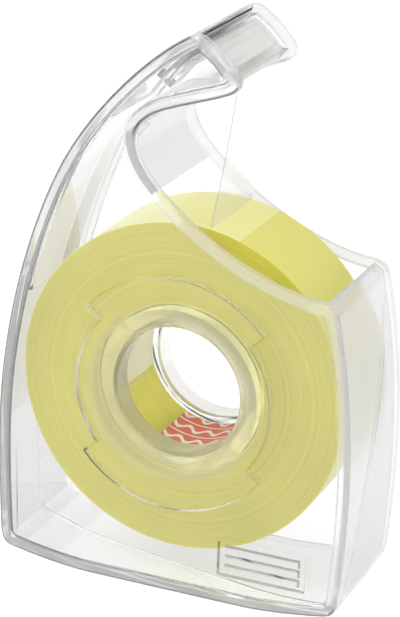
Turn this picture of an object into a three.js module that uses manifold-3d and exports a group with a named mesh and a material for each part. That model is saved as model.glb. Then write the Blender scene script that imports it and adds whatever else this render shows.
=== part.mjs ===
// Hand tape dispenser with a 19 mm tape roll.
// Millimetres, +Z up. X runs across the side panels, Y along the hub axis, and the front cover is at -Y.
// The origin is on the resting face, below the hub axis, midway between the two side panels.
import * as THREE from "three";
import { mergeVertices } from "three/addons/utils/BufferGeometryUtils.js";
import Module from "manifold-3d";

const wasm = await Module();
wasm.setup();

// ---- driving dimensions -------------------------------------------------------------------------
const HALF_WIDTH = 33.6;
const HALF_DEPTH = 13.8;
const HUB_Z = 37.6;
const WALL = 1.5;
const BEAD_WIDTH = 2.4;
const BEAD_RISE = 0.8;
const GAP = 0.3;

// tape roll
const TAPE_WIDTH = 19;
const ROLL_Y = 0.7;
const ROLL_RADIUS = 30.5;
const CORE_OUTER = 15.4;
const CORE_INNER = 13.1;
const LABEL_OUTER = 12.9;
const LABEL_THICKNESS = 0.25;
const FILM_THICKNESS = 0.25;
const FILM_LIFT = 0.3;
const PEEL_X = 4.4;

// hub: a funnel ring in the front cover and a collar on the back shell
const BORE_RADIUS = 11.7;
const COLLAR_OUTER = 12.9;
const COLLAR_REACH = 3;
const FUNNEL_DEPTH = 3.2;
const FUNNEL_MOUTH = 16.4;
const RING_RADIUS = 18.2;
const LUG_RADIUS = 21.4;
const LUG_HALF_ANGLE = THREE.MathUtils.degToRad(50);

// seam between the two shells
const SEAM_Y = 1.2;
const SEAM_TOP_Y = 10.6;
const SEAM_TOP_Z = 58;
const SEAM_FOOT_Z = 5;
const FOOT_HEIGHT = 4;
const LIP_REACH = 4.6;
const LIP_THICKNESS = 0.8;

// head: throat web, tape platform and blade
const WEB_INSET = 1;
const PLATFORM_INSET = 2;
const WEB_THICKNESS = 1.4;
const RIDGE_RADIUS = 0.28;
const RIDGE_PLACES = [[5, 98.75], [3.9, 99.7]];
const BLADE_EDGE = [3, 102.2];
const BLADE_FOOT = [-4.1, 93.1];
const BLADE_THICKNESS = 0.5;
const BLADE_LENGTH = 22;
const TOOTH_PITCH = 1;
const TOOTH_DEPTH = 0.8;
const RIB_THICKNESS = 1;
const RIB_REACH = 5;

// front and back limits of the panels and of the roll
const PANEL_OUTER = HALF_DEPTH - BEAD_RISE;
const PANEL_INNER = PANEL_OUTER - WALL;
const ROLL_FRONT = ROLL_Y - TAPE_WIDTH / 2;
const ROLL_BACK = ROLL_Y + TAPE_WIDTH / 2;
const BEYOND = 60;
const ABOVE = 120;

// the right wall's share of the seam starts at this X
const RIGHT_WALL_X = 20;

// the lip inside the neck lies between these heights, left of a slanting line
const LIP_BOTTOM_Z = 52;
const LIP_TOP_Z = 86;
const LIP_BOTTOM_X = -22;
const LIP_TOP_X = -12;

// the web's inset grows to the platform's inset between these heights
const PLATFORM_START_Z = 92;
const PLATFORM_FULL_Z = 95.5;

// Side outline of both shells. Each row is one cubic stretch: two handles and the end point.
// It runs anticlockwise from the left end of the flat foot.
const FOOT_START = [-14, 0];
const OUTLINE = [
  [[-5, 0], [5, 0], [14, 0]],
  [[20, 0], [26, 0.9], [30.2, 1.7]],
  [[32, 2], [32.6, 2.9], [32.8, 5.5]],
  [[34.2, 22], [34.1, 40], [30.2, 56.8]],
  [[29.9, 58.4], [29, 59.4], [27.4, 59.6]],
  [[17, 60.2], [4, 67], [-4.3, 75.5]],
  [[-8.2, 79.5], [-11.5, 85.8], [-2, 89.1]],
  [[1, 90.3], [5, 91.4], [8.2, 92.7]],
  [[10.9, 93.6], [11.4, 95.4], [9.6, 97.3]],
  [[8, 99.3], [6.2, 100.8], [4.4, 101.9]],
  [[3.2, 102.9], [1.6, 102.7], [-0.2, 101.4]],
  [[-6.5, 97.4], [-15.5, 88.5], [-21.3, 78.1]],
  [[-27.5, 66.5], [-HALF_WIDTH, 46], [-HALF_WIDTH, 24]],
  [[-HALF_WIDTH, 17.5], [-33.3, 11], [-33, 5.2]],
  [[-32.8, 2.4], [-31.6, 1.95], [-29.8, 1.75]],
  [[-25, 0.8], [-19.5, 0], FOOT_START],
];
const OUTLINE_STEPS = 7;
const SMALLEST_STEP = 0.08;

// ---- outlines -----------------------------------------------------------------------------------
const corners = (list) => list.map(([x, z]) => new THREE.Vector2(x, z));

function sideOutline() {
  const path = new THREE.Path();
  path.moveTo(...FOOT_START);
  for (const [first, second, end] of OUTLINE) path.bezierCurveTo(...first, ...second, ...end);
  const points = path.getPoints(OUTLINE_STEPS);
  points.pop();
  return points;
}

function distanceToOutline(point, outline) {
  const nearest = new THREE.Vector3();
  const target = new THREE.Vector3(point.x, point.y, 0);
  const edge = new THREE.Line3();
  let best = Infinity;
  outline.forEach((corner, index) => {
    const next = outline[(index + 1) % outline.length];
    edge.start.set(corner.x, corner.y, 0);
    edge.end.set(next.x, next.y, 0);
    edge.closestPointToPoint(target, true, nearest);
    best = Math.min(best, nearest.distanceTo(target));
  });
  return best;
}

// Moves an anticlockwise outline inwards by depthAt(corner), and drops what a tight corner folds over.
function insetOutline(outline, depthAt) {
  const moved = [];
  outline.forEach((corner, index) => {
    const before = outline[(index + outline.length - 1) % outline.length];
    const after = outline[(index + 1) % outline.length];
    const arriving = new THREE.Vector2().subVectors(corner, before).normalize();
    const leaving = new THREE.Vector2().subVectors(after, corner).normalize();
    const along = arriving.clone().add(leaving).normalize();
    const inward = new THREE.Vector2(-along.y, along.x);
    const depth = depthAt(corner);
    const point = corner.clone().addScaledVector(inward, depth / along.dot(leaving));
    const isFree = distanceToOutline(point, outline) > depth - 0.005;
    const isApart = moved.every((other) => other.distanceTo(point) > SMALLEST_STEP);
    if (isFree && isApart) moved.push(point);
  });
  return moved;
}

const outline = sideOutline();
const insetBy = (depth) => insetOutline(outline, () => depth);

// ---- solids -------------------------------------------------------------------------------------
function solidFrom(geometry) {
  geometry.deleteAttribute("normal");
  geometry.deleteAttribute("uv");
  const merged = mergeVertices(geometry, 1e-4);
  return new wasm.Manifold(new wasm.Mesh({
    numProp: 3,
    vertProperties: new Float32Array(merged.attributes.position.array),
    triVerts: new Uint32Array(merged.index.array),
  }));
}

function geometryFrom(solid) {
  const mesh = solid.getMesh();
  const geometry = new THREE.BufferGeometry();
  geometry.setAttribute("position", new THREE.BufferAttribute(new Float32Array(mesh.vertProperties), 3));
  geometry.setIndex(new THREE.BufferAttribute(new Uint32Array(mesh.triVerts), 1));
  geometry.computeVertexNormals();
  return geometry;
}

function extruded(points, depth) {
  return new THREE.ExtrudeGeometry(new THREE.Shape(points), { depth, bevelEnabled: false, steps: 1 });
}

// A side outline, in X and Z, carried along Y from one depth to another.
function plate(points, fromY, toY) {
  const geometry = extruded(points, toY - fromY);
  geometry.rotateX(Math.PI / 2);
  geometry.translate(0, toY, 0);
  return solidFrom(geometry);
}

// An outline in Y and Z carried along X.
function prismAlongX(points, fromX, toX) {
  const geometry = extruded(points, toX - fromX);
  geometry.applyMatrix4(new THREE.Matrix4().set(0, 0, 1, fromX, 1, 0, 0, 0, 0, 1, 0, 0, 0, 0, 0, 1));
  return solidFrom(geometry);
}

// An outline in X and Y carried along Z.
function prismAlongZ(points, fromZ, toZ) {
  const geometry = extruded(points, toZ - fromZ);
  geometry.translate(0, 0, fromZ);
  return solidFrom(geometry);
}

function band(outer, inner, fromY, toY) {
  return plate(outer, fromY, toY).subtract(plate(inner, fromY - 1, toY + 1));
}

// A closed profile of radius and Y, anticlockwise, turned about the hub axis.
function turned(profile, segments = 72) {
  const points = [...corners(profile), new THREE.Vector2(...profile[0])];
  const geometry = new THREE.LatheGeometry(points, segments);
  geometry.translate(0, 0, HUB_Z);
  return solidFrom(geometry);
}

function tube(outer, inner, fromY, toY, segments) {
  return turned([[inner, fromY], [outer, fromY], [outer, toY], [inner, toY]], segments);
}

// A full disc about the hub axis.
function disc(radius, fromY, toY) {
  const geometry = new THREE.CylinderGeometry(radius, radius, toY - fromY, 72);
  geometry.translate(0, (fromY + toY) / 2, HUB_Z);
  return solidFrom(geometry);
}

// A sector of a ring about the hub axis, between two angles from +X towards +Z.
function ringSector(outer, inner, fromAngle, toAngle, fromY, toY, steps = 18) {
  const arc = (radius) => Array.from({ length: steps + 1 }, (_, step) => {
    const angle = fromAngle + ((toAngle - fromAngle) * step) / steps;
    return new THREE.Vector2(radius * Math.cos(angle), HUB_Z + radius * Math.sin(angle));
  });
  return plate([...arc(outer), ...arc(inner).reverse()], fromY, toY);
}

// The two lugs of the front hub ring, above and below the bore.
function lugPair(radius, halfAngle, fromY, toY) {
  const [upper, lower] = [Math.PI / 2, -Math.PI / 2].map((middle) =>
    ringSector(radius, RING_RADIUS - 1.5, middle - halfAngle, middle + halfAngle, fromY, toY));
  return upper.add(lower);
}

// ---- blade frame --------------------------------------------------------------------------------
const bladeEdge = new THREE.Vector2(...BLADE_EDGE);
const bladeFoot = new THREE.Vector2(...BLADE_FOOT);
const bladeUp = new THREE.Vector2().subVectors(bladeEdge, bladeFoot).normalize();
const bladeRight = new THREE.Vector2(bladeUp.y, -bladeUp.x);

// A point given by its height up the blade and its distance to the right of the blade's middle.
function besideBlade(origin, up, right) {
  return origin.clone().addScaledVector(bladeUp, up).addScaledVector(bladeRight, right);
}

// ---- shells -------------------------------------------------------------------------------------
const bladeClearance = BLADE_THICKNESS / 2 + GAP;

// The rim wall stops at the top of the right side and behind the blade. This region lies between.
const openRegion = [
  ...corners([[27.6, 40], [27.6, 75], [14, 115]]),
  besideBlade(bladeEdge, 8, -bladeClearance),
  besideBlade(bladeEdge, -6, -bladeClearance),
  ...corners([[-8.5, 90], [-13, 83], [-13, 70]]),
];

// The web follows the throat, the underside of the head, its tip and the tape platform.
const webRegion = [
  ...corners([[-9.6, 69.6], [-0.5, 77.4], [8, 84], [20, 90], [20, 115]]),
  besideBlade(bladeEdge, 9, bladeClearance),
  besideBlade(bladeEdge, -6, bladeClearance),
  ...corners([[-3.5, 93.8], [-8.5, 89.8], [-13, 83], [-13, 75]]),
];

function rimWall() {
  const wall = band(outline, insetBy(WALL), -PANEL_INNER, PANEL_INNER);
  return wall.subtract(plate(openRegion, -BEYOND, BEYOND));
}

// The space in front of the seam: level with mid depth on the left and in the neck, slanting
// forwards under the foot, and slanting backwards up the right wall.
function spaceBeforeSeam(shift) {
  const front = -PANEL_INNER + shift;
  const middle = SEAM_Y + shift;
  const top = SEAM_TOP_Y + shift;
  const left = prismAlongX(corners([
    [-BEYOND, FOOT_HEIGHT], [middle, FOOT_HEIGHT], [middle, ABOVE], [-BEYOND, ABOVE],
  ]), -BEYOND, RIGHT_WALL_X);
  const foot = prismAlongZ(corners([
    [-BEYOND, -BEYOND], [BEYOND, -BEYOND], [BEYOND, front], [HALF_WIDTH, front],
    [-30, middle], [-BEYOND, middle],
  ]), -1, FOOT_HEIGHT);
  const right = prismAlongX(corners([
    [-BEYOND, FOOT_HEIGHT], [front, FOOT_HEIGHT], [front, SEAM_FOOT_Z],
    [top, SEAM_TOP_Z], [top, ABOVE], [-BEYOND, ABOVE],
  ]), RIGHT_WALL_X, BEYOND);
  return left.add(foot).add(right);
}

// One side panel with its raised bead. side is -1 for the front cover and 1 for the back shell.
function sidePanel(side) {
  const faces = (near, far) => [near * side, far * side].sort((a, b) => a - b);
  const panel = plate(outline, ...faces(PANEL_INNER, PANEL_OUTER));
  const bead = band(outline, insetBy(BEAD_WIDTH), ...faces(PANEL_INNER, HALF_DEPTH));
  return panel.add(bead);
}

// Two ribs beside the lower half of the blade, standing on one side panel.
function bladeRibs(side) {
  const [fromY, toY] = [(PANEL_INNER - RIB_REACH) * side, (PANEL_INNER + GAP) * side].sort((a, b) => a - b);
  const rib = (near, far) => plate([
    besideBlade(bladeFoot, 0.4, near), besideBlade(bladeFoot, 0.4, far),
    besideBlade(bladeFoot, 5, far), besideBlade(bladeFoot, 5, near),
  ], fromY, toY);
  const left = rib(-bladeClearance - RIB_THICKNESS, -bladeClearance);
  const right = rib(bladeClearance, bladeClearance + RIB_THICKNESS);
  return left.add(right);
}

// A thin lip of the front cover reaches behind the seam, inside the neck's outer wall.
function neckLip() {
  const inset = WALL + GAP;
  const reach = band(insetBy(inset), insetBy(inset + LIP_THICKNESS), -PANEL_INNER - GAP, SEAM_Y + LIP_REACH);
  const root = band(insetBy(WALL - GAP), insetBy(inset + GAP), -PANEL_INNER - GAP, SEAM_Y - 1);
  const keep = plate(corners([
    [-BEYOND, LIP_BOTTOM_Z], [LIP_BOTTOM_X, LIP_BOTTOM_Z], [LIP_TOP_X, LIP_TOP_Z], [-BEYOND, LIP_TOP_Z],
  ]), -BEYOND, BEYOND);
  return reach.add(root).intersect(keep);
}

function frontShell() {
  const opening = disc(RING_RADIUS + GAP, -BEYOND, 0)
    .add(lugPair(LUG_RADIUS + GAP, LUG_HALF_ANGLE + 0.02, -BEYOND, 0));
  const shell = sidePanel(-1).subtract(opening);
  return shell.add(rimWall().intersect(spaceBeforeSeam(0))).add(neckLip()).add(bladeRibs(-1));
}

function throatWeb() {
  const towardsPlatform = (corner) => THREE.MathUtils.smoothstep(corner.y, PLATFORM_START_Z, PLATFORM_FULL_Z);
  const inset = (corner) => WEB_INSET + (PLATFORM_INSET - WEB_INSET) * towardsPlatform(corner);
  const outer = insetOutline(outline, inset);
  const inner = insetOutline(outline, (corner) => inset(corner) + WEB_THICKNESS);
  const front = -PANEL_INNER + GAP;
  const web = band(outer, inner, front, PANEL_INNER + GAP);
  return web.intersect(plate(webRegion, -BEYOND, BEYOND));
}

function platformRidges() {
  const length = 2 * PANEL_INNER - GAP;
  const solids = RIDGE_PLACES.map(([x, z]) => {
    const ridge = new THREE.CylinderGeometry(RIDGE_RADIUS, RIDGE_RADIUS, length, 10);
    ridge.translate(x, GAP / 2, z);
    return solidFrom(ridge);
  });
  return solids[0].add(solids[1]);
}

function backShell() {
  const collar = tube(COLLAR_OUTER, BORE_RADIUS, ROLL_BACK - COLLAR_REACH, PANEL_OUTER);
  const panel = sidePanel(1).subtract(disc(BORE_RADIUS + GAP, 0, BEYOND)).add(collar);
  const wall = rimWall().subtract(spaceBeforeSeam(GAP));
  return panel.add(wall).add(throatWeb()).add(platformRidges()).add(bladeRibs(1));
}

// ---- hub, roll and blade ------------------------------------------------------------------------
function frontHubRing() {
  const face = -PANEL_OUTER;
  const throatSteps = 8;
  const funnel = Array.from({ length: throatSteps + 1 }, (_, step) => {
    const angle = (Math.PI / 2) * (step / throatSteps);
    return [
      FUNNEL_MOUTH - (FUNNEL_MOUTH - BORE_RADIUS) * Math.cos(angle),
      face + FUNNEL_DEPTH * (1 - Math.sin(angle)),
    ];
  });
  const profile = [
    [RING_RADIUS, face],
    [RING_RADIUS, face + WALL],
    [FUNNEL_MOUTH - 0.9, face + WALL],
    [COLLAR_OUTER, face + FUNNEL_DEPTH],
    [COLLAR_OUTER, ROLL_FRONT + COLLAR_REACH],
    [BORE_RADIUS, ROLL_FRONT + COLLAR_REACH],
    ...funnel,
  ];
  return turned(profile).add(lugPair(LUG_RADIUS, LUG_HALF_ANGLE, face, face + WALL));
}

function coreLabel(fromDegrees, toDegrees) {
  const fromY = ROLL_FRONT + COLLAR_REACH + 0.4;
  const toY = ROLL_BACK - COLLAR_REACH - 0.4;
  const [from, to] = [fromDegrees, toDegrees].map(THREE.MathUtils.degToRad);
  return ringSector(LABEL_OUTER, LABEL_OUTER - LABEL_THICKNESS, from, to, fromY, toY, 24);
}

// The loose film: from the blade over the platform and the tip, then straight down to the roll.
function tapeTail() {
  const lift = FILM_LIFT + RIDGE_RADIUS;
  const overHead = insetBy(PLATFORM_INSET - lift - FILM_THICKNESS / 2)
    .filter((point) => point.x > BLADE_EDGE[0] + 0.5 && point.y > 94.6)
    .reverse();
  const peelHeight = Math.sqrt(ROLL_RADIUS ** 2 - PEEL_X ** 2) + FILM_LIFT + FILM_THICKNESS / 2;
  const route = [...overHead, new THREE.Vector2(PEEL_X, HUB_Z + peelHeight)];
  const shifted = (offset) => route.map((point, index) => {
    const before = route[Math.max(index - 1, 0)];
    const after = route[Math.min(index + 1, route.length - 1)];
    const along = new THREE.Vector2().subVectors(after, before).normalize();
    return point.clone().add(new THREE.Vector2(along.y, -along.x).multiplyScalar(offset));
  });
  const half = FILM_THICKNESS / 2;
  return plate([...shifted(half), ...shifted(-half).reverse()], ROLL_FRONT, ROLL_BACK);
}

function cutterBlade() {
  const height = bladeEdge.distanceTo(bladeFoot);
  const half = BLADE_LENGTH / 2;
  const shape = new THREE.Shape();
  shape.moveTo(-half, 0);
  shape.lineTo(half, 0);
  shape.lineTo(half, height - TOOTH_DEPTH);
  for (let y = half; y > -half; y -= TOOTH_PITCH) {
    shape.lineTo(y - TOOTH_PITCH / 2, height);
    shape.lineTo(y - TOOTH_PITCH, height - TOOTH_DEPTH);
  }
  const geometry = new THREE.ExtrudeGeometry(shape, { depth: BLADE_THICKNESS, bevelEnabled: false });
  geometry.translate(0, 0, -BLADE_THICKNESS / 2);
  const along = new THREE.Vector3(0, 1, 0);
  const up = new THREE.Vector3(bladeUp.x, 0, bladeUp.y);
  const right = new THREE.Vector3(bladeRight.x, 0, bladeRight.y);
  geometry.applyMatrix4(new THREE.Matrix4().makeBasis(along, up, right));
  geometry.translate(bladeFoot.x, 0, bladeFoot.y);
  return solidFrom(geometry);
}

// ---- assembly -----------------------------------------------------------------------------------
const clearPlastic = { color: 0xd9dcd8, roughness: 0.08, metalness: 0, transparent: true, opacity: 0.35 };

function piece(name, solid, look) {
  const mesh = new THREE.Mesh(geometryFrom(solid), new THREE.MeshStandardMaterial(look));
  mesh.name = name;
  return mesh;
}

const shells = new THREE.Group();
shells.add(piece("back_shell", backShell(), clearPlastic));
shells.add(piece("front_shell", frontShell(), clearPlastic));
shells.add(piece("front_hub_ring", frontHubRing(), clearPlastic));
shells.add(piece("cutter_blade", cutterBlade(), { color: 0x8d9093, roughness: 0.3, metalness: 1 }));

const winding = tube(ROLL_RADIUS, CORE_OUTER + GAP, ROLL_FRONT, ROLL_BACK, 96);
const roll = new THREE.Group();
roll.add(piece("tape_winding", winding, { color: 0xb8a21e, roughness: 0.25, metalness: 0 }));
roll.add(piece("roll_core", tube(CORE_OUTER, CORE_INNER, ROLL_FRONT, ROLL_BACK), {
  color: 0xa8aa78, roughness: 0.2, metalness: 0,
}));
roll.add(piece("printed_core_label", coreLabel(-115.5, -30), {
  color: 0xb3261e, roughness: 0.6, metalness: 0,
}));
roll.add(piece("plain_core_label", coreLabel(95, 195), {
  color: 0xc9cdb4, roughness: 0.6, metalness: 0,
}));

const dispenser = new THREE.Group();
dispenser.add(shells);
dispenser.add(roll);
dispenser.add(piece("tape_tail", tapeTail(), {
  color: 0xe4dfc4, roughness: 0.15, metalness: 0, transparent: true, opacity: 0.4,
}));

export default dispenser;
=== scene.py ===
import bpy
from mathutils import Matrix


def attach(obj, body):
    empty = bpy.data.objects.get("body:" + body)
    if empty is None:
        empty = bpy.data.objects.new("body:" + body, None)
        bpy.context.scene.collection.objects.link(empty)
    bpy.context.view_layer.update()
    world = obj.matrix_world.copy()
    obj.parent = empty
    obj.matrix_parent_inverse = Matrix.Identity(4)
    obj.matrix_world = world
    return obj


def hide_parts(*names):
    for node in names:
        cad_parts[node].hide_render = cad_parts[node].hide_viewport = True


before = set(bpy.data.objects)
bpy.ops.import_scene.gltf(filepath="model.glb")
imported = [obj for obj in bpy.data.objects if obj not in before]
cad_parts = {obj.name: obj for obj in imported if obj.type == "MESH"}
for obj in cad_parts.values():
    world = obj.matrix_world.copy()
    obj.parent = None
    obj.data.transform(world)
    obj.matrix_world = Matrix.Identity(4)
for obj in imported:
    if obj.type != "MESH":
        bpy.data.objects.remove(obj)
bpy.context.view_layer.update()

import math

import bmesh
import bpy
import numpy as np
from mathutils import Matrix, Vector

MM = 0.001
RANDOM = np.random.default_rng(7)

# ---- dimensions, as in the CAD part ---------------------------------------------------------
HUB_Z = 37.6
WALL = 1.5
HALF_DEPTH = 13.8
BEAD_WIDTH = 2.4
BEAD_RISE = 0.8
GAP = 0.3
PANEL_OUTER = HALF_DEPTH - BEAD_RISE
PANEL_INNER = PANEL_OUTER - WALL
ROLL_FRONT = -8.8
ROLL_BACK = 10.2
ROLL_RADIUS = 30.5
CORE_OUTER = 15.4
CORE_INNER = 13.1
LABEL_OUTER = 12.9
LABEL_THICKNESS = 0.25
PEEL_X = 4.4
BORE_RADIUS = 11.7
COLLAR_OUTER = 12.9
COLLAR_REACH = 3.0
FUNNEL_DEPTH = 3.2
FUNNEL_MOUTH = 16.4
RING_RADIUS = 18.2
LUG_RADIUS = 21.4
LUG_ROOT = RING_RADIUS - 1.5
LUG_HALF_ANGLE = 50.0
LUG_MIDDLES = (90, -90)
SEAM_Y = 1.2
SEAM_TOP_Y = 10.6
SEAM_TOP_Z = 58.0
SEAM_FOOT_Z = 5.0
FOOT_HEIGHT = 4.0
LIP_REACH = 4.6
LIP_THICKNESS = 0.8
WEB_INSET = 1.0
PLATFORM_INSET = 2.0
WEB_THICKNESS = 1.4
RIDGE_RADIUS = 0.28
RIDGE_PLACES = [[5, 98.75], [3.9, 99.7]]
BLADE_EDGE = np.array([3.0, 102.2])
BLADE_FOOT = np.array([-4.1, 93.1])
BLADE_THICKNESS = 0.5
BLADE_LENGTH = 22.0
TOOTH_PITCH = 1.0
TOOTH_DEPTH = 0.8
RIB_THICKNESS = 1.0
RIB_REACH = 5.0
FAR = 60.0
ABOVE = 120.0
RIGHT_WALL_X = 20.0
HALF_WIDTH = 33.6

# ---- details of the looks only --------------------------------------------------------------
BEAD_ROUNDING = 0.85
BEAD_FLAT = 1.7
MARK_BOX = (9.6, 26.6, 5.0, 12.0)  # low X, high X, low Z, high Z
MARK_DEPTH = 0.55
MARK_SLOPE = 0.45
MARK_RIB_STARTS = (1.3, 3.15, 5.0)
MARK_RIB_WIDTH = 0.7
MARK_RIB_INSET = 1.8
ROW_HEIGHT = 4.8
LINE_WIDTH = 0.42
WAVE_MIDDLE = 2.6
WAVE_HEIGHT = 0.85
WAVE_WIDTH = 1.1
CLEAR_IOR = 1.3
RING_IOR = 1.25

FOOT_START = [-14, 0]
OUTLINE = [
    [[-5, 0], [5, 0], [14, 0]],
    [[20, 0], [26, 0.9], [30.2, 1.7]],
    [[32, 2], [32.6, 2.9], [32.8, 5.5]],
    [[34.2, 22], [34.1, 40], [30.2, 56.8]],
    [[29.9, 58.4], [29, 59.4], [27.4, 59.6]],
    [[17, 60.2], [4, 67], [-4.3, 75.5]],
    [[-8.2, 79.5], [-11.5, 85.8], [-2, 89.1]],
    [[1, 90.3], [5, 91.4], [8.2, 92.7]],
    [[10.9, 93.6], [11.4, 95.4], [9.6, 97.3]],
    [[8, 99.3], [6.2, 100.8], [4.4, 101.9]],
    [[3.2, 102.9], [1.6, 102.7], [-0.2, 101.4]],
    [[-6.5, 97.4], [-15.5, 88.5], [-21.3, 78.1]],
    [[-27.5, 66.5], [-33.6, 46], [-33.6, 24]],
    [[-33.6, 17.5], [-33.3, 11], [-33, 5.2]],
    [[-32.8, 2.4], [-31.6, 1.95], [-29.8, 1.75]],
    [[-25, 0.8], [-19.5, 0], FOOT_START],
]


# ---- outline --------------------------------------------------------------------------------
def side_outline():
    parts, start = [], FOOT_START
    for first, second, end in OUTLINE:
        a, b, c, d = (np.array(p, float) for p in (start, first, second, end))
        length = sum(np.linalg.norm(v - u) for u, v in ((a, b), (b, c), (c, d)))
        steps = int(np.clip(length / 0.8, 12, 70))
        t = np.linspace(0, 1, steps, endpoint=False)[:, None]
        parts.append((1 - t) ** 3 * a + 3 * (1 - t) ** 2 * t * b + 3 * (1 - t) * t * t * c + t**3 * d)
        start = end
    points = np.vstack(parts)
    for _ in range(2):
        points = (np.roll(points, 1, 0) + 2 * points + np.roll(points, -1, 0)) / 4
    return points


OUT = side_outline()
ALONG = np.roll(OUT, -1, 0) - np.roll(OUT, 1, 0)
ALONG /= np.linalg.norm(ALONG, axis=1)[:, None]
INWARD = np.c_[-ALONG[:, 1], ALONG[:, 0]]
INSETS = {}


def distance_to_outline(points):
    edge = np.roll(OUT, -1, 0) - OUT
    offset = points[:, None] - OUT[None]
    t = np.clip((offset * edge).sum(2) / (edge * edge).sum(1), 0, 1)
    return np.linalg.norm(offset - t[..., None] * edge, axis=2).min(1)


def inset(depth):
    """The outline moved inwards, each point no further than where it would cross another."""
    depth = np.broadcast_to(np.asarray(depth, float), len(OUT))
    key = depth.round(4).tobytes()
    if key not in INSETS:
        low, high = np.zeros(len(OUT)), depth.copy()
        for turn in range(13):
            middle = high if turn == 0 else (low + high) / 2
            fits = distance_to_outline(OUT + INWARD * middle[:, None]) >= middle - 0.02
            low = np.where(fits, middle, low)
            high = np.where(fits, high, middle)
        INSETS[key] = OUT + INWARD * low[:, None]
    return INSETS[key]


# ---- meshes ---------------------------------------------------------------------------------
def split_wide_faces(shape):
    """Turns each face of more than four corners into triangles that stay inside its outline."""
    wide = [face for face in shape.faces if len(face.verts) > 4]
    bmesh.ops.triangulate(shape, faces=wide, ngon_method="EAR_CLIP")


def new_object(name, vertices, faces):
    mesh = bpy.data.meshes.new(name)
    mesh.from_pydata([tuple(MM * float(c) for c in v) for v in vertices], [], faces)
    shape = bmesh.new()
    shape.from_mesh(mesh)
    bmesh.ops.recalc_face_normals(shape, faces=shape.faces)
    split_wide_faces(shape)
    shape.to_mesh(mesh)
    shape.free()
    piece = bpy.data.objects.new(name, mesh)
    bpy.context.scene.collection.objects.link(piece)
    return piece


def loft(name, rings, looped=False):
    """A closed skin through closed rings of points. It is capped, or joins up with itself."""
    count = len(rings[0])
    faces = []
    for k in range(len(rings) if looped else len(rings) - 1):
        a, b = k * count, (k + 1) % len(rings) * count
        for i in range(count):
            j = (i + 1) % count
            faces.append((a + i, a + j, b + j, b + i))
    if not looped:
        faces += [tuple(range(count)), tuple(range((len(rings) - 1) * count, len(rings) * count))]
    return new_object(name, np.vstack(rings), faces)


def at_depth(points, y):
    """Side-view points (X, Z) placed at one Y or at one Y each."""
    points = np.asarray(points, float)
    return np.c_[points[:, 0], np.broadcast_to(y, len(points)), points[:, 1]]


def plate(points, from_y, to_y, name="tool"):
    return loft(name, [at_depth(points, from_y), at_depth(points, to_y)])


def band(outer, inner, from_y, to_y, name="tool"):
    rings = [at_depth(outer, from_y), at_depth(outer, to_y)]
    return loft(name, rings + [at_depth(inner, to_y), at_depth(inner, from_y)], looped=True)


def prism_x(points, from_x, to_x):
    y, z = np.array(points, float).T
    return loft("tool", [np.c_[np.full(len(y), x), y, z] for x in (from_x, to_x)])


def prism_z(points, from_z, to_z):
    x, y = np.array(points, float).T
    return loft("tool", [np.c_[x, y, np.full(len(x), z)] for z in (from_z, to_z)])


def circle(radius, count=160):
    angles = np.arange(count) * 2 * math.pi / count
    return np.c_[radius * np.cos(angles), HUB_Z + radius * np.sin(angles)]


def turned(profile, name="tool", count=160):
    """A closed profile of radius and Y, turned about the hub axis."""
    profile = np.array(profile, float)
    rings = []
    for angle in np.arange(count) * 2 * math.pi / count:
        x, z = profile[:, 0] * math.cos(angle), HUB_Z + profile[:, 0] * math.sin(angle)
        rings.append(np.c_[x, profile[:, 1], z])
    return loft(name, rings, looped=True)


def arc_points(radius, from_degrees, to_degrees, count=40):
    angles = np.radians(np.linspace(from_degrees, to_degrees, count))
    return np.c_[radius * np.cos(angles), HUB_Z + radius * np.sin(angles)]


def sector(outer, inner, from_degrees, to_degrees, from_y, to_y, count=40, name="tool"):
    points = [arc_points(outer, from_degrees, to_degrees, count)]
    points.append(arc_points(inner, from_degrees, to_degrees, count)[::-1])
    return plate(np.vstack(points), from_y, to_y, name)


def combine(target, operation, *tools):
    for tool in tools:
        step = target.modifiers.new("combine", "BOOLEAN")
        step.solver = "MANIFOLD"
        step.operation = operation
        step.object = tool
    bpy.context.view_layer.update()
    graph = bpy.context.evaluated_depsgraph_get()
    mesh = bpy.data.meshes.new_from_object(target.evaluated_get(graph))
    target.modifiers.clear()
    target.data = mesh
    for tool in tools:
        bpy.data.objects.remove(tool)
    if not mesh.polygons:
        raise RuntimeError(f"{operation} on {target.name} left nothing")
    return target


def join(target, *tools):
    return combine(target, "UNION", *tools)


def cut(target, *tools):
    return combine(target, "DIFFERENCE", *tools)


def keep(target, tool):
    return combine(target, "INTERSECT", tool)


def fans(vertex):
    """The faces round a vertex, in groups that meet each other across smooth edges."""
    left = list(vertex.link_faces)
    while left:
        fan = [left.pop()]
        for face in fan:
            for edge in face.edges:
                if edge.smooth and vertex in edge.verts:
                    for other in edge.link_faces:
                        if other in left:
                            left.remove(other)
                            fan.append(other)
        yield fan


def smooth_shade(piece, degrees=32):
    """Smooth shading led by the larger faces, with edges sharper than this angle kept sharp."""
    mesh = piece.data
    shape = bmesh.new()
    shape.from_mesh(mesh)
    split_wide_faces(shape)
    limit = math.radians(degrees)
    for face in shape.faces:
        face.smooth = True
    for edge in shape.edges:
        edge.smooth = len(edge.link_faces) == 2 and edge.calc_face_angle(0) < limit
    pull = {face: face.normal * (face.calc_area() / MM**2) ** 2 for face in shape.faces}
    corners = {}
    for vertex in shape.verts:
        for fan in fans(vertex):
            for face in fan:
                near = [pull[other] for other in fan if other.normal.dot(face.normal) > 0.5]
                total = sum(near, Vector())
                if total.length < 1e-9:
                    total = Vector((0, 0, 1))
                for corner in face.loops:
                    if corner.vert == vertex:
                        corners[corner] = total.normalized()
    normals = [corners[corner] for face in shape.faces for corner in face.loops]
    for face in shape.faces:
        if face.calc_area() < 1e-4 * MM**2:  # too small to lend its neighbours a direction
            for edge in face.edges:
                edge.smooth = False
    shape.to_mesh(mesh)
    shape.free()
    mesh.normals_split_custom_set(normals)
    return piece


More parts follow.
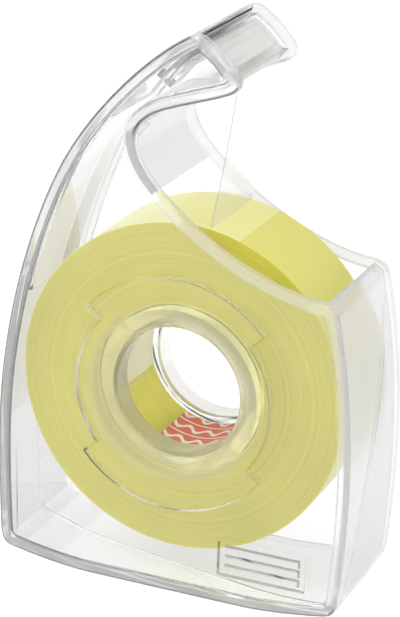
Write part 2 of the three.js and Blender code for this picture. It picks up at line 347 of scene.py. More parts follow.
# ---- shells ---------------------------------------------------------------------------------
BLADE_UP = (BLADE_EDGE - BLADE_FOOT) / np.linalg.norm(BLADE_EDGE - BLADE_FOOT)
BLADE_RIGHT = np.array([BLADE_UP[1], -BLADE_UP[0]])
BLADE_SPACE = BLADE_THICKNESS / 2 + GAP


def beside_blade(origin, up, right):
    return origin + up * BLADE_UP + right * BLADE_RIGHT


OPEN_REGION = [
    [27.6, 40], [27.6, 75], [14, 115],
    beside_blade(BLADE_EDGE, 8, -BLADE_SPACE),
    beside_blade(BLADE_EDGE, -6, -BLADE_SPACE),
    [-8.5, 90], [-13, 83], [-13, 70],
]
WEB_REGION = [
    [-9.6, 69.6], [-0.5, 77.4], [8, 84], [20, 90], [20, 115],
    beside_blade(BLADE_EDGE, 9, BLADE_SPACE),
    beside_blade(BLADE_EDGE, -6, BLADE_SPACE),
    [-3.5, 93.8], [-8.5, 89.8], [-13, 83], [-13, 75],
]


def inside(points, region):
    region = np.array(region, float)
    found = np.zeros(len(points), bool)
    for a, b in zip(region, np.roll(region, -1, 0)):
        crosses = (a[1] > points[:, 1]) != (b[1] > points[:, 1])
        with np.errstate(divide="ignore", invalid="ignore"):
            at = a[0] + (points[:, 1] - a[1]) * (b[0] - a[0]) / (b[1] - a[1])
        found ^= crosses & (points[:, 0] < at)
    return found


def free_share():
    """1 where the rim has no wall behind it, 0 where it has, with a soft change between."""
    share = inside(OUT, OPEN_REGION).astype(float)
    for _ in range(4):
        share = (np.roll(share, 1) + 2 * share + np.roll(share, -1)) / 4
    return np.where(inside(OUT, OPEN_REGION), share, 0)


def side_panel(side, name):
    """One panel with its raised, rounded bead. side is -1 for the front and 1 for the back."""
    round_in = 0.02 + 0.75 * free_share()
    quarter = np.linspace(0, math.pi / 2, 7)
    rings = [(BEAD_WIDTH + 0.5, PANEL_INNER)]
    rings += [(round_in * (1 - math.sin(t)), PANEL_INNER + round_in * (1 - math.cos(t))) for t in quarter]
    rings += [(BEAD_ROUNDING * (1 - math.cos(t)), HALF_DEPTH - BEAD_ROUNDING * (1 - math.sin(t)))
              for t in quarter]
    slope = np.linspace(0, 1, 9)[1:]
    rings += [(BEAD_FLAT + (BEAD_WIDTH - BEAD_FLAT) * t, HALF_DEPTH - BEAD_RISE * (3 * t * t - 2 * t**3))
              for t in slope]
    rings.append((BEAD_WIDTH + 0.5, PANEL_OUTER))
    bead = loft(name, [at_depth(inset(depth), side * out) for depth, out in rings], looped=True)
    return join(bead, plate(inset(1.2), side * PANEL_INNER, side * PANEL_OUTER))


def rim_wall():
    wall = band(OUT, inset(WALL), -PANEL_INNER - 0.01, PANEL_INNER + 0.01, "wall")
    return cut(wall, plate(OPEN_REGION, -FAR, FAR))


def before_seam(shift):
    front, middle, top = -PANEL_INNER + shift, SEAM_Y + shift, SEAM_TOP_Y + shift
    left = prism_x([(-FAR, FOOT_HEIGHT), (middle, FOOT_HEIGHT), (middle, ABOVE), (-FAR, ABOVE)],
                   -FAR, RIGHT_WALL_X)
    foot = prism_z([(-FAR, -FAR), (FAR, -FAR), (FAR, front), (HALF_WIDTH, front), (-30, middle),
                    (-FAR, middle)], -1, FOOT_HEIGHT)
    right = prism_x([(-FAR, FOOT_HEIGHT), (front, FOOT_HEIGHT), (front, SEAM_FOOT_Z),
                     (top, SEAM_TOP_Z), (top, ABOVE), (-FAR, ABOVE)], RIGHT_WALL_X, FAR)
    return join(left, foot, right)


def blade_ribs(side):
    from_y, to_y = sorted([(PANEL_INNER - RIB_REACH) * side, (PANEL_INNER + GAP) * side])

    def rib(near, far):
        places = [(0.4, near), (0.4, far), (5, far), (5, near)]
        return plate([beside_blade(BLADE_FOOT, up, right) for up, right in places], from_y, to_y)

    return join(rib(-BLADE_SPACE - RIB_THICKNESS, -BLADE_SPACE),
                rib(BLADE_SPACE, BLADE_SPACE + RIB_THICKNESS))


def neck_lip():
    """A strip inside the front shell's neck wall that reaches in behind the back shell's."""
    depth = WALL + GAP
    reach = band(inset(depth), inset(depth + LIP_THICKNESS), -PANEL_INNER - GAP, SEAM_Y + LIP_REACH)
    root = band(inset(WALL - GAP), inset(depth + GAP), -PANEL_INNER - GAP, SEAM_Y - 1)
    region = [(-FAR, 52), (-22, 52), (-12, 86), (-FAR, 86)]
    return keep(join(reach, root), plate(region, -FAR, FAR))


def grown(points, by):
    """A convex outline, given anticlockwise, moved out by this much."""
    points = np.array(points, float)
    edge = np.roll(points, -1, 0) - points
    edge /= np.linalg.norm(edge, axis=1)[:, None]
    out = np.c_[edge[:, 1], -edge[:, 0]]
    before = np.roll(out, 1, 0)
    return points + by * (out + before) / (1 + (out * before).sum(1))[:, None]


def rectangle(left, right, low, high):
    return [(left, low), (right, low), (right, high), (left, high)]


def sloping(points, from_y, to_y, widen):
    return loft("tool", [at_depth(points, from_y), at_depth(grown(points, widen), to_y)])


def generic_mark():
    """A plain sunk rectangle with three straight raised ribs and sloping sides."""
    left, right, low, high = MARK_BOX
    face, sunk = -PANEL_OUTER - 0.3, -PANEL_OUTER + MARK_DEPTH
    field = sloping(rectangle(left, right, low, high), face, sunk, -MARK_SLOPE)
    ribs = []
    for start in MARK_RIB_STARTS:
        rib = rectangle(left + MARK_RIB_INSET, right - MARK_RIB_INSET, low + start,
                        low + start + MARK_RIB_WIDTH)
        ribs.append(sloping(rib, face - 0.1, sunk + 0.1, MARK_SLOPE))
    return cut(field, *ribs)


def front_shell():
    shell = side_panel(-1, "front_cover_panel")
    opening = join(plate(circle(RING_RADIUS + GAP), -FAR, 0),
                   *[sector(LUG_RADIUS + GAP, LUG_ROOT, middle - LUG_HALF_ANGLE - 1,
                            middle + LUG_HALF_ANGLE + 1, -FAR, 0) for middle in LUG_MIDDLES])
    shell = cut(shell, opening, generic_mark())
    wall = keep(rim_wall(), before_seam(0))
    return join(shell, wall, neck_lip(), blade_ribs(-1))


def throat_web():
    t = np.clip((OUT[:, 1] - 92) / 3.5, 0, 1)
    depth = WEB_INSET + (PLATFORM_INSET - WEB_INSET) * t * t * (3 - 2 * t)
    web = band(inset(depth), inset(depth + WEB_THICKNESS), -PANEL_INNER + GAP, PANEL_INNER + GAP)
    return keep(web, plate(WEB_REGION, -FAR, FAR))


def platform_ridges():
    ridges = []
    for x, z in RIDGE_PLACES:
        angles = np.arange(20) * math.pi / 10
        ring = np.c_[x + RIDGE_RADIUS * np.cos(angles), z + RIDGE_RADIUS * np.sin(angles)]
        ridges.append(plate(ring, -PANEL_INNER + GAP, PANEL_INNER))
    return ridges


def back_shell():
    shell = side_panel(1, "back_case_shell")
    collar_start = ROLL_BACK - COLLAR_REACH
    collar = turned([
        (BORE_RADIUS + 0.25, collar_start), (COLLAR_OUTER - 0.25, collar_start),
        (COLLAR_OUTER, collar_start + 0.3), (COLLAR_OUTER, PANEL_OUTER - 0.05),
        (BORE_RADIUS + 0.5, PANEL_OUTER - 0.05), (BORE_RADIUS, PANEL_OUTER - 0.5),
        (BORE_RADIUS, collar_start + 0.25),
    ])
    shell = cut(shell, plate(circle(BORE_RADIUS + 0.6), 0, FAR))
    wall = cut(rim_wall(), before_seam(GAP))
    return join(shell, collar, wall, throat_web(), *platform_ridges(), blade_ribs(1))


def front_hub_ring():
    face = -PANEL_OUTER
    funnel = []
    for t in np.linspace(0, math.pi / 2, 14):
        funnel.append((FUNNEL_MOUTH - (FUNNEL_MOUTH - BORE_RADIUS) * math.cos(t),
                       face + FUNNEL_DEPTH * (1 - math.sin(t))))
    end = ROLL_FRONT + COLLAR_REACH
    profile = [
        (RING_RADIUS - 0.25, face), (RING_RADIUS - 0.07, face + 0.07), (RING_RADIUS, face + 0.25),
        (RING_RADIUS, face + WALL), (FUNNEL_MOUTH - 0.9, face + WALL),
        (COLLAR_OUTER, face + FUNNEL_DEPTH), (COLLAR_OUTER, end - 0.25),
        (COLLAR_OUTER - 0.25, end), (BORE_RADIUS + 0.25, end), (BORE_RADIUS, end - 0.25),
        *funnel[:-1], (FUNNEL_MOUTH + 0.3, face),
    ]
    ring = turned(profile, "hub_ring", 192)
    lugs = [sector(LUG_RADIUS, LUG_ROOT, middle - LUG_HALF_ANGLE, middle + LUG_HALF_ANGLE,
                   face, face + WALL, 72) for middle in LUG_MIDDLES]
    return join(ring, *lugs)


# ---- roll -----------------------------------------------------------------------------------
DARK_FROM = math.radians(71.1)
PEEL_ANGLE = math.atan2(math.sqrt(ROLL_RADIUS**2 - PEEL_X**2), PEEL_X)


def tape_winding():
    """The wound film: faces with faint steps from turn to turn, and one layer's step at the top."""
    count = 288
    radii = np.linspace(CORE_OUTER + GAP, ROLL_RADIUS, 46)
    wander = np.cumsum(RANDOM.normal(0, 0.02, (2, len(radii))), axis=1)
    wander -= np.linspace(0, 1, len(radii)) * wander[:, -1:]
    wander = np.clip(wander, -0.05, 0.05)
    rings = []
    for k in range(count):
        angle = PEEL_ANGLE - 2 * math.pi * k / count
        layer = 0.07 * (k / count)
        scale = 1 - layer / ROLL_RADIUS
        front = np.c_[radii * scale, ROLL_FRONT + 0.05 + wander[0]]
        back = np.c_[radii * scale, ROLL_BACK - 0.05 + wander[1]][::-1]
        rounding = [[ROLL_RADIUS - layer, ROLL_FRONT + 0.12], [ROLL_RADIUS - layer, ROLL_BACK - 0.12]]
        profile = np.vstack([front[:-1], [[front[-1, 0] - 0.06, front[-1, 1]]], rounding,
                             [[back[0, 0] - 0.06, back[0, 1]]], back[1:]])
        x, z = profile[:, 0] * math.cos(angle), HUB_Z + profile[:, 0] * math.sin(angle)
        rings.append(np.c_[x, profile[:, 1], z])
    return loft("wound_film", rings, looped=True)


def roll_core():
    r = 0.15
    return turned([
        (CORE_INNER + r, ROLL_FRONT), (CORE_OUTER - r, ROLL_FRONT), (CORE_OUTER, ROLL_FRONT + r),
        (CORE_OUTER, ROLL_BACK - r), (CORE_OUTER - r, ROLL_BACK), (CORE_INNER + r, ROLL_BACK),
        (CORE_INNER, ROLL_BACK - r), (CORE_INNER, ROLL_FRONT + r),
    ], "core_tube", 192)


def core_label(name, from_degrees, to_degrees):
    from_y, to_y = ROLL_FRONT + COLLAR_REACH + 0.4, ROLL_BACK - COLLAR_REACH - 0.4
    return sector(LABEL_OUTER, LABEL_OUTER - LABEL_THICKNESS, from_degrees, to_degrees,
                  from_y, to_y, 64, name)


def tape_tail():
    """The loose film: over the platform, round the tip of the head, then straight to the roll."""
    thickness, lift = 0.09, 0.08
    depth = PLATFORM_INSET - RIDGE_RADIUS - lift
    over = inset(depth)
    over = over[(over[:, 0] > BLADE_EDGE[0] + 0.5) & (over[:, 1] > 94.6)][::-1]
    foot = np.array([PEEL_X, HUB_Z + math.sqrt(ROLL_RADIUS**2 - PEEL_X**2) + 0.06])
    straight = np.linspace(over[-1], foot, 24)[1:]
    bow = np.sin(np.linspace(0, math.pi, 24))[1:, None] * 0.25
    straight = straight + bow * np.array([1.0, -0.2])
    route = np.vstack([over, straight])
    ahead = np.gradient(route, axis=0)
    ahead /= np.linalg.norm(ahead, axis=1)[:, None]
    across = np.c_[ahead[:, 1], -ahead[:, 0]] * thickness / 2
    section = np.vstack([route + across, (route - across)[::-1]])
    rows = np.linspace(ROLL_FRONT, ROLL_BACK, 14)
    return loft("loose_film", [at_depth(section, y) for y in rows])


def cutter_blade():
    """A stamped strip whose saw teeth are ground to a sharp edge on one side."""
    height = float(np.linalg.norm(BLADE_EDGE - BLADE_FOOT))
    half, thick = BLADE_LENGTH / 2, BLADE_THICKNESS / 2
    low, high = height - TOOTH_DEPTH - 0.5, height
    count = int(BLADE_LENGTH / TOOTH_PITCH)
    tips = []
    for k in range(count):
        start = -half + k * TOOTH_PITCH
        tips += [(start, high - TOOTH_DEPTH), (start + TOOTH_PITCH / 2, high)]
    tips.append((half, high - TOOTH_DEPTH))
    tips = np.array(tips)
    bottom = np.c_[tips[:, 0], np.zeros(len(tips))]
    bevel = np.c_[tips[:, 0], np.full(len(tips), low)]
    rows = [(bottom, -thick), (bevel, -thick), (tips, -thick), (tips, -thick + 0.08),
            (bevel, thick), (bottom, thick)]
    vertices = []
    for points, offset in rows:
        for y, up in points:
            x, z = BLADE_FOOT + up * BLADE_UP + offset * BLADE_RIGHT
            vertices.append((x, y, z))
    n = len(tips)
    faces = []
    for row in range(len(rows)):
        a, b = row * n, (row + 1) % len(rows) * n
        faces += [(a + i, a + i + 1, b + i + 1, b + i) for i in range(n - 1)]
    faces += [tuple(row * n for row in range(len(rows)))]
    faces += [tuple(row * n + n - 1 for row in range(len(rows)))]
    return new_object("saw_blade", vertices, faces)


# ---- materials ------------------------------------------------------------------------------
class Nodes:
    """A short way to write a material's node tree."""

    def __init__(self, name):
        self.material = bpy.data.materials.new(name)
        self.material.use_nodes = True
        self.tree = self.material.node_tree
        self.tree.nodes.clear()
        self.output = self.add("ShaderNodeOutputMaterial")

    def add(self, kind, settings=None, **inputs):
        node = self.tree.nodes.new(kind)
        for key, value in (settings or {}).items():
            setattr(node, key, value)
        for key, value in inputs.items():
            self.set(node, key.replace("_", " "), value)
        return node

    def set(self, node, key, value):
        socket = node.inputs[int(key[1:]) if key[0] == "i" and key[1:].isdigit() else key]
        if isinstance(value, bpy.types.NodeSocket):
            self.tree.links.new(value, socket)
        else:
            socket.default_value = value

    def math(self, operation, a, b=0.0, clamp=False):
        node = self.add("ShaderNodeMath", {"operation": operation, "use_clamp": clamp}, i0=a, i1=b)
        return node.outputs[0]

    def near(self, value, middle, within):
        """1 where the value lies no further than this from the middle, 0 elsewhere."""
        node = self.add("ShaderNodeMath", {"operation": "COMPARE"}, i0=value, i1=middle, i2=within)
        return node.outputs[0]

    def place(self):
        return self.add("ShaderNodeTexCoord").outputs["Object"]

    def noise(self, vector, scale, detail=4.0, roughness=0.5):
        node = self.add("ShaderNodeTexNoise", Vector=vector, Scale=scale, Detail=detail, Roughness=roughness)
        return node.outputs["Fac"]

    def spread(self, value, low, high):
        """Stretches a 0 to 1 value to run from low to high."""
        node = self.add("ShaderNodeMapRange", Value=value)
        node.inputs["To Min"].default_value = low
        node.inputs["To Max"].default_value = high
        return node.outputs[0]

    def mix(self, share, a, b):
        node = self.add("ShaderNodeMix", {"data_type": "RGBA"})
        self.set(node, "i0", share)
        self.set(node, "i6", a)
        self.set(node, "i7", b)
        return node.outputs[2]

    def bump(self, height, strength, distance):
        node = self.add("ShaderNodeBump", Height=height, Strength=strength, Distance=distance)
        return node.outputs[0]

    def scaled(self, vector, factors):
        node = self.add("ShaderNodeMapping", Vector=vector)
        node.inputs["Scale"].default_value = factors
        return node.outputs[0]

    def finish(self, surface):
        self.tree.links.new(surface, self.output.inputs["Surface"])
        return self.material

    def lets_lamps_through(self, surface, tint):
        """Lamps and the sky reach what is behind the piece, as they do through thin clear plastic."""
        rays = self.add("ShaderNodeLightPath")
        clear = self.add("ShaderNodeBsdfTransparent", Color=tint)
        mixed = self.add("ShaderNodeMixShader", i0=rays.outputs["Is Shadow Ray"], i1=surface,
                         i2=clear.outputs[0])
        return mixed.outputs[0]


def hub_distance(n, place):
    """Distance from the hub axis in millimetres, with the place's three parts."""
    x, y, z = n.add("ShaderNodeSeparateXYZ", Vector=place).outputs
    up = n.math("SUBTRACT", z, HUB_Z * MM)
    radius = n.math("SQRT", n.math("ADD", n.math("MULTIPLY", x, x), n.math("MULTIPLY", up, up)))
    return n.math("DIVIDE", radius, MM), x, y, up


def clear_plastic(name, panel_tint, wall_tint, seed):
    """Clear moulded plastic. The panels are clearest, the walls round them a little greyer, with
    painted shade darkening the left wall, the right wall slightly frosted and the rounded bead
    along the edges a little milky, with a painted dark line of shade along the bead at the bottom
    and the left, and painted shade on the sloping sides of the sunk mark."""
    n = Nodes(name)
    place = n.place()
    distance, x, y, up = hub_distance(n, place)
    facing = n.add("ShaderNodeSeparateXYZ", Vector=n.add("ShaderNodeTexCoord").outputs["Normal"])
    across, outward, upward = facing.outputs
    outward = n.math("ABSOLUTE", outward)
    flat = n.math("MULTIPLY", outward, 1.5, clamp=True)
    hub = n.math("LESS_THAN", distance, FUNNEL_MOUTH)
    flat = n.math("MAXIMUM", flat, n.math("MULTIPLY", hub, 0.55))
    flat = n.math("MAXIMUM", flat, n.math("MULTIPLY", n.math("LESS_THAN", up, (3 - HUB_Z) * MM), 0.5))
    wall = n.math("SUBTRACT", 1.0, flat)
    bead = n.math("SUBTRACT", n.math("ABSOLUTE", y), (PANEL_OUTER + 0.1) * MM)
    bead = n.math("MULTIPLY", bead, 2500.0, clamp=True)
    left = n.math("LESS_THAN", x, -22 * MM)
    right = n.math("GREATER_THAN", x, 27.5 * MM)
    tint = n.mix(n.math("MULTIPLY", wall, n.math("SUBTRACT", 1.0, n.math("MULTIPLY", bead, 0.1))),
                 (*panel_tint, 1), (*wall_tint, 1))
    # painted shade: the walls left of x = -22 mm are darkened a little
    tint = n.mix(n.math("MULTIPLY", n.math("MULTIPLY", wall, left), 0.25), tint,
                 (0.35, 0.35, 0.345, 1))
    tint = n.mix(n.math("MULTIPLY", bead, 0.5), tint, (0.80, 0.80, 0.81, 1))
    # painted shade: a dark line painted where the bead's rounding faces about 37 degrees away from the
    # front, on its sides turned down or to the left
    line = n.math("MULTIPLY", n.math("ABSOLUTE", n.math("ADD", outward, -0.80)), -8.0)
    line = n.math("ADD", line, 1.7, clamp=True)
    painted_shade_side = n.math("MULTIPLY", n.math("MINIMUM", across, upward), -4.0, clamp=True)
    line = n.math("MULTIPLY", n.math("MULTIPLY", line, painted_shade_side), n.math("MULTIPLY", bead, 0.95))
    tint = n.mix(line, tint, (0.03, 0.03, 0.033, 1))
    # painted shade: the sloping sides of the sunk mark are darkened into fine grey lines
    left_x, right_x, low_z, high_z = MARK_BOX
    in_x = n.near(x, (left_x + right_x) / 2 * MM, ((right_x - left_x) / 2 + 0.2) * MM)
    in_z = n.near(up, ((low_z + high_z) / 2 - HUB_Z) * MM, ((high_z - low_z) / 2 + 0.2) * MM)
    sloped = n.math("LESS_THAN", outward, 0.9)
    front = n.math("LESS_THAN", y, (MARK_DEPTH - PANEL_OUTER + 0.15) * MM)
    painted_mark_shade = n.math("MULTIPLY", n.math("MULTIPLY", in_x, in_z), n.math("MULTIPLY", sloped, front))
    tint = n.mix(n.math("MULTIPLY", painted_mark_shade, 0.9), tint, (0.22, 0.22, 0.225, 1))
    waves = n.noise(n.scaled(place, (55 + seed, 60, 48)), 1.0, 2.0)
    grain = n.noise(n.scaled(place, (900, 900, 900)), 1.0, 3.0)
    height = n.math("ADD", waves, n.math("MULTIPLY", grain, 0.01))
    frost = n.math("MULTIPLY", n.math("MULTIPLY", wall, right), 0.14)
    rough = n.math("ADD", n.spread(grain, 0.01, 0.03), frost)
    milk = n.math("ADD", n.math("MULTIPLY", wall, 0.11), n.math("MULTIPLY", bead, 0.30))
    milk = n.math("ADD", milk, frost)
    shader = n.add("ShaderNodeBsdfPrincipled", Base_Color=tint, IOR=CLEAR_IOR, Roughness=rough,
                   Normal=n.bump(height, 0.12, 0.0006))
    n.set(shader, "Transmission Weight", n.math("SUBTRACT", 0.98, milk))
    shader.inputs["Coat Weight"].default_value = 0.7
    return n.finish(n.lets_lamps_through(shader.outputs[0], (0.97, 0.97, 0.965, 1)))


def ring_plastic():
    """The hub ring's slightly milky plastic, tinted yellow as a painted refraction of the tape behind it,
    faintly on the rim and more deeply round the funnel.
    """
    n = Nodes("clear_ring")
    place = n.place()
    distance = hub_distance(n, place)[0]
    haze = n.noise(place, 120.0, 3.0)
    swirl = n.add("ShaderNodeTexNoise", {"noise_dimensions": "1D"}, W=distance, Scale=1.1, Detail=2.0)
    funnel = n.math("SUBTRACT", (FUNNEL_MOUTH + 0.6), distance)
    funnel = n.math("MULTIPLY", funnel, 0.5, clamp=True)
    # painted refraction: the tape's yellow is painted on, pale on the rim and deeper in the funnel's mouth
    rim = n.mix(haze, (0.95, 0.94, 0.77, 1), (0.97, 0.96, 0.83, 1))
    mouth_painted_refraction = n.mix(swirl.outputs["Fac"], (0.71, 0.685, 0.50, 1), (0.81, 0.785, 0.62, 1))
    shader = n.add("ShaderNodeBsdfPrincipled", Base_Color=n.mix(funnel, rim, mouth_painted_refraction), IOR=RING_IOR,
                   Roughness=n.spread(haze, 0.08, 0.2), Normal=n.bump(haze, 0.1, 0.0004))
    n.set(shader, "Transmission Weight", n.math("SUBTRACT", 0.93, n.math("MULTIPLY", funnel, 0.18)))
    shader.inputs["Coat Weight"].default_value = 0.5
    return n.finish(n.lets_lamps_through(shader.outputs[0], (0.95, 0.945, 0.88, 1)))


def wound_film_material():
    """Wound film: fine turns on the faces, and a paler outside that darkens right of the loose end."""
    n = Nodes("wound_film")
    place = n.place()
    turn, x, _, up = hub_distance(n, place)
    rings = n.add("ShaderNodeTexNoise", {"noise_dimensions": "1D"}, W=turn, Scale=1.7, Detail=6.0)
    fine = n.add("ShaderNodeTexNoise", {"noise_dimensions": "1D"}, W=turn, Scale=9.0, Detail=3.0)
    cloud = n.noise(place, 90.0, 3.0)
    tone = n.math("ADD", n.math("MULTIPLY", rings.outputs["Fac"], 0.6), n.math("MULTIPLY", cloud, 0.4))
    face = n.mix(n.spread(tone, -0.6, 1.6), (0.52, 0.475, 0.025, 1), (0.71, 0.66, 0.08, 1))
    face = n.mix(n.spread(fine.outputs["Fac"], 0.08, 0.37), face, (0.50, 0.465, 0.03, 1))
    angle = n.math("ARCTAN2", up, x)
    fade = n.math("MULTIPLY", n.math("ADD", angle, math.pi), 0.5, clamp=True)
    dark = n.math("MULTIPLY", n.math("LESS_THAN", angle, DARK_FROM), fade)
    top = n.mix(dark, (0.76, 0.73, 0.28, 1), (0.68, 0.65, 0.14, 1))
    outer = n.math("GREATER_THAN", turn, ROLL_RADIUS - 0.115)
    inner = n.math("LESS_THAN", turn, CORE_OUTER + GAP + 0.15)
    face = n.mix(inner, face, (0.92, 0.87, 0.10, 1))
    colour = n.mix(outer, face, top)
    shader = n.add("ShaderNodeBsdfPrincipled", Base_Color=colour, IOR=1.48,
                   Roughness=n.spread(cloud, 0.25, 0.42),
                   Normal=n.bump(fine.outputs["Fac"], 0.13, 0.0001))
    shader.inputs["Subsurface Weight"].default_value = 0.25
    shader.inputs["Subsurface Radius"].default_value = (0.6, 0.5, 0.1)
    shader.inputs["Subsurface Scale"].default_value = 0.002
    shader.inputs["Coat Weight"].default_value = 0.15
    return n.finish(shader.outputs[0])


def core_material():
    n = Nodes("core_tube")
    place = n.place()
    haze = n.noise(n.scaled(place, (300, 60, 300)), 1.0, 3.0)
    colour = n.mix(haze, (0.98, 0.97, 0.38, 1), (0.99, 0.98, 0.50, 1))
    shader = n.add("ShaderNodeBsdfPrincipled", Base_Color=colour, IOR=1.45,
                   Roughness=n.spread(haze, 0.05, 0.14), Normal=n.bump(haze, 0.1, 0.0004))
    shader.inputs["Transmission Weight"].default_value = 0.96
    return n.finish(n.lets_lamps_through(shader.outputs[0], (0.95, 0.945, 0.78, 1)))


def paper_fibre(n, place):
    fibre = n.noise(n.scaled(place, (2500, 900, 2500)), 1.0, 5.0, 0.65)
    return fibre, n.bump(fibre, 0.35, 0.00012)


def red_label_material():
    """Red print on pale paper, with a straight and a wavy pale line in each row."""
    n = Nodes("printed_label")
    place = n.place()
    _, x, y, up = hub_distance(n, place)
    angle = n.math("ARCTAN2", up, x)
    along = n.math("MULTIPLY", angle, LABEL_OUTER)
    across = n.math("DIVIDE", y, MM)
    row = n.math("MODULO", n.math("ADD", across, 20.0), ROW_HEIGHT)
    line = n.math("LESS_THAN", row, LINE_WIDTH)
    wave = n.math("MULTIPLY", n.math("SINE", n.math("MULTIPLY", along, 1.7)), WAVE_HEIGHT)
    ribbon = n.near(n.math("ADD", row, wave), WAVE_MIDDLE, WAVE_WIDTH / 2)
    white = n.math("MAXIMUM", line, ribbon)
    fibre, normal = paper_fibre(n, place)
    red = n.mix(fibre, (0.72, 0.13, 0.08, 1), (0.86, 0.23, 0.15, 1))
    pale = n.mix(fibre, (0.90, 0.86, 0.76, 1), (0.98, 0.95, 0.88, 1))
    colour = n.mix(white, red, pale)
    shader = n.add("ShaderNodeBsdfPrincipled", Base_Color=colour, Normal=normal,
                   Roughness=n.spread(fibre, 0.45, 0.7))
    return n.finish(shader.outputs[0])


def plain_label_material():
    n = Nodes("plain_label")
    place = n.place()
    fibre, normal = paper_fibre(n, place)
    colour = n.mix(fibre, (0.90, 0.92, 0.68, 1), (0.97, 0.98, 0.80, 1))
    shader = n.add("ShaderNodeBsdfPrincipled", Base_Color=colour, Normal=normal,
                   Roughness=n.spread(fibre, 0.5, 0.75))
    return n.finish(shader.outputs[0])


def blade_material():
    """Bright steel, with painted shade along the teeth and painted dark reflections in short strokes below
    them.
    """
    n = Nodes("blade_steel")
    place = n.place()
    x, y, z = n.add("ShaderNodeSeparateXYZ", Vector=place).outputs
    foot = float(BLADE_FOOT @ BLADE_UP)
    height = float(BLADE_EDGE @ BLADE_UP) - foot
    up = n.math("ADD", n.math("MULTIPLY", x, float(BLADE_UP[0])), n.math("MULTIPLY", z, float(BLADE_UP[1])))
    up = n.math("SUBTRACT", n.math("DIVIDE", up, MM), foot)
    brushed = n.noise(n.scaled(place, (900, 14000, 900)), 1.0, 4.0)
    strokes = n.noise(n.scaled(place, (150, 2600, 150)), 1.0, 2.0)
    # painted shade: the top 0.6 mm of the blade, along the teeth, is painted near-black
    painted_teeth_shade = n.math("GREATER_THAN", up, height - 0.6)
    low = n.math("LESS_THAN", up, height - 1.5)
    low = n.math("MULTIPLY", low, n.math("LESS_THAN", y, 1.5 * MM))
    # painted reflection: dark strokes painted on the lower front part of the blade
    painted_reflection_stroke = n.math("MULTIPLY", n.math("GREATER_THAN", strokes, 0.45), low)
    bright = n.mix(brushed, (0.70, 0.70, 0.69, 1), (0.90, 0.90, 0.89, 1))
    colour = n.mix(n.math("MULTIPLY", painted_reflection_stroke, 0.7), bright, (0.16, 0.16, 0.165, 1))
    colour = n.mix(painted_teeth_shade, colour, (0.025, 0.025, 0.03, 1))
    shader = n.add("ShaderNodeBsdfPrincipled", Base_Color=colour, Metallic=1.0,
                   Roughness=n.spread(brushed, 0.22, 0.42), Normal=n.bump(brushed, 0.15, 0.00005))
    return n.finish(shader.outputs[0])


def loose_film_material():
    n = Nodes("loose_film")
    place = n.place()
    streaks = n.noise(n.scaled(place, (120, 1600, 60)), 1.0, 3.0)
    colour = n.mix(streaks, (0.86, 0.855, 0.835, 1), (0.89, 0.885, 0.87, 1))
    shader = n.add("ShaderNodeBsdfPrincipled", Base_Color=colour, IOR=1.4,
                   Roughness=n.spread(streaks, 0.05, 0.12), Normal=n.bump(streaks, 0.08, 0.0001))
    shader.inputs["Transmission Weight"].default_value = 0.9
    return n.finish(n.lets_lamps_through(shader.outputs[0], (0.97, 0.965, 0.92, 1)))


# ---- pieces ---------------------------------------------------------------------------------
SHELL_LOOK = clear_plastic("clear_shell", (0.965, 0.965, 0.97), (0.75, 0.75, 0.765), 0)
COVER_LOOK = clear_plastic("clear_cover", (0.975, 0.975, 0.98), (0.78, 0.78, 0.795), 4)
PIECES = [
    (back_shell, "housing", "back_shell", "clear_shell", SHELL_LOOK),
    (front_shell, "front_cover", "front_shell", "clear_shell", COVER_LOOK),
    (front_hub_ring, "front_cover", "front_hub_ring", "clear_shell", ring_plastic()),
    (cutter_blade, "housing", "cutter_blade", "blade_steel", blade_material()),
    (tape_winding, "tape_roll", "tape_winding", "tape_film", wound_film_material()),
    (roll_core, "tape_roll", "roll_core", "core_plastic", core_material()),
    (lambda: core_label("printed_label", -115.5, -30), "tape_roll", "printed_core_label",
     "label_red", red_label_material()),
    (lambda: core_label("plain_label", 95, 195), "tape_roll", "plain_core_label",
     "label_pale", plain_label_material()),
    (tape_tail, "housing", "tape_tail", "tail_film", loose_film_material()),
]
for make, body, node, slot, look in PIECES:
    piece = make()
    piece.data.materials.clear()
    piece.data.materials.append(look)
    smooth_shade(piece)
    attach(piece, body)
    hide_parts(node)
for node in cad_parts.values():
    node.data.materials.clear()
    node.data.materials.append(SHELL_LOOK)

# ---- stage, light and camera ----------------------------------------------------------------
FLOOR_HALF = 4000.0
FLOOR_Z = -0.05
floor_corners = [(x, y, FLOOR_Z) for x, y in rectangle(-FLOOR_HALF, FLOOR_HALF, -FLOOR_HALF, FLOOR_HALF)]
floor = new_object("floor", floor_corners, [(0, 1, 2, 3)])
paint = Nodes("floor_paint")
matt = paint.add("ShaderNodeBsdfPrincipled", Base_Color=(0.38, 0.38, 0.38, 1), Roughness=0.9)
matt.inputs["Specular IOR Level"].default_value = 0.1
matt.inputs["Emission Color"].default_value = (1, 1, 1, 1)
matt.inputs["Emission Strength"].default_value = 0.73
floor.data.materials.append(paint.finish(matt.outputs[0]))

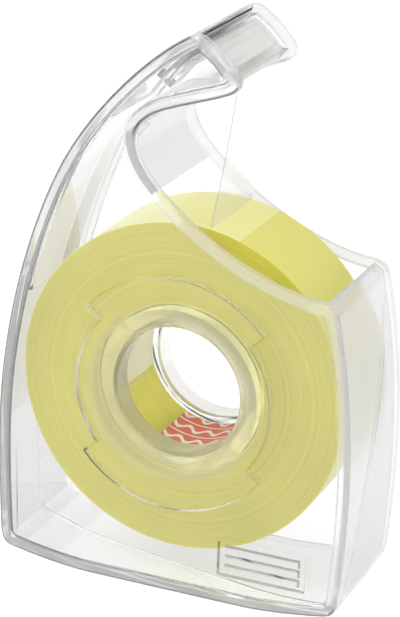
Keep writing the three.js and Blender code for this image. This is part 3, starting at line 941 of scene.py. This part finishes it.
world = bpy.data.worlds.new("studio")
bpy.context.scene.world = world
world.use_nodes = True
tree = world.node_tree
tree.nodes.clear()
direction = tree.nodes.new("ShaderNodeTexCoord")
height = tree.nodes.new("ShaderNodeSeparateXYZ")
tree.links.new(direction.outputs["Generated"], height.inputs[0])
ramp = tree.nodes.new("ShaderNodeValToRGB")
stops = [(0.0, 0.9), (0.30, 0.9), (0.46, 0.78), (0.62, 0.68), (0.75, 1.1), (1.0, 1.15)]
while len(ramp.color_ramp.elements) < len(stops):
    ramp.color_ramp.elements.new(0.5)
for element, (place_on_ramp, level) in zip(ramp.color_ramp.elements, stops):
    element.position = place_on_ramp
    element.color = (level, level, level, 1)
tree.links.new(height.outputs[2], ramp.inputs[0])
sky = tree.nodes.new("ShaderNodeBackground")
sky.inputs["Strength"].default_value = 0.92
tree.links.new(ramp.outputs[0], sky.inputs["Color"])
sky_out = tree.nodes.new("ShaderNodeOutputWorld")
tree.links.new(sky.outputs[0], sky_out.inputs["Surface"])


def softbox(name, place, target, size, power):
    data = bpy.data.lights.new(name, "AREA")
    data.shape = "RECTANGLE"
    data.size, data.size_y = size
    data.energy = power
    lamp = bpy.data.objects.new(name, data)
    lamp.location = place
    lamp.rotation_mode = "QUATERNION"
    lamp.rotation_quaternion = (Vector(target) - Vector(place)).to_track_quat("-Z", "Y")
    bpy.context.scene.collection.objects.link(lamp)


softbox("key_softbox", (-0.45, -0.35, 0.75), (0, 0, 0.05), (0.5, 0.5), 3.0)
softbox("rim_softbox", (0.6, 0.45, 0.5), (0, 0, 0.05), (0.35, 0.6), 1.2)

bpy.context.scene.view_settings.view_transform = "Standard"

CAMERA_PLACE = Vector((0.1523, -0.3730, 0.2015))
FORWARD = Vector((-0.355, 0.866, -0.353)).normalized()
ROLL = math.radians(-2.14)
LENS = 141.9
level_right = FORWARD.cross(Vector((0, 0, 1))).normalized()
level_up = level_right.cross(FORWARD)
camera_up = level_up * math.cos(ROLL) + level_right * math.sin(ROLL)
camera_right = FORWARD.cross(camera_up)
lens = bpy.data.cameras.new("camera")
lens.sensor_width = 36.0
lens.lens = LENS
lens.clip_start = 0.01
lens.clip_end = 20
camera = bpy.data.objects.new("camera", lens)
axes = Matrix((camera_right, camera_up, -FORWARD)).transposed()
camera.matrix_world = Matrix.Translation(CAMERA_PLACE) @ axes.to_4x4()
bpy.context.scene.collection.objects.link(camera)
bpy.context.scene.camera = camera
